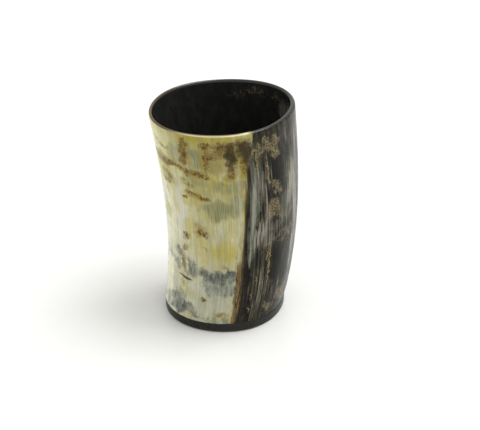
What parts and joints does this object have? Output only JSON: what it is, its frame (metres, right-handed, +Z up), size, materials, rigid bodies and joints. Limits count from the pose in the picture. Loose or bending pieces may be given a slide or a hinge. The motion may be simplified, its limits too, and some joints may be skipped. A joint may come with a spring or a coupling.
{
  "type": "drinking tumbler",
  "caption": "Bowed, slightly oval drinking tumbler of natural ox horn, with a rounded lip and a stepped dark foot disc glued and sealed into the lower end.",
  "frame": {"origin": "middle of the foot disc's flat underside", "axes": "+Z up the cup, +X towards the side that the horn bows out to, +Y towards the back"},
  "size_m": [0.0794, 0.0722, 0.1205],
  "materials": {
    "pale_horn": "gloss",
    "dark_horn": "satin",
    "dried_glue": "satin",
    "amber_resin": "gloss"
  },
  "bodies": {
    "root": {"horn_wall": "pale_horn", "foot_disc": "dark_horn", "glue_film": "dried_glue", "seal_bead": "amber_resin"}
  },
  "joints": []
}
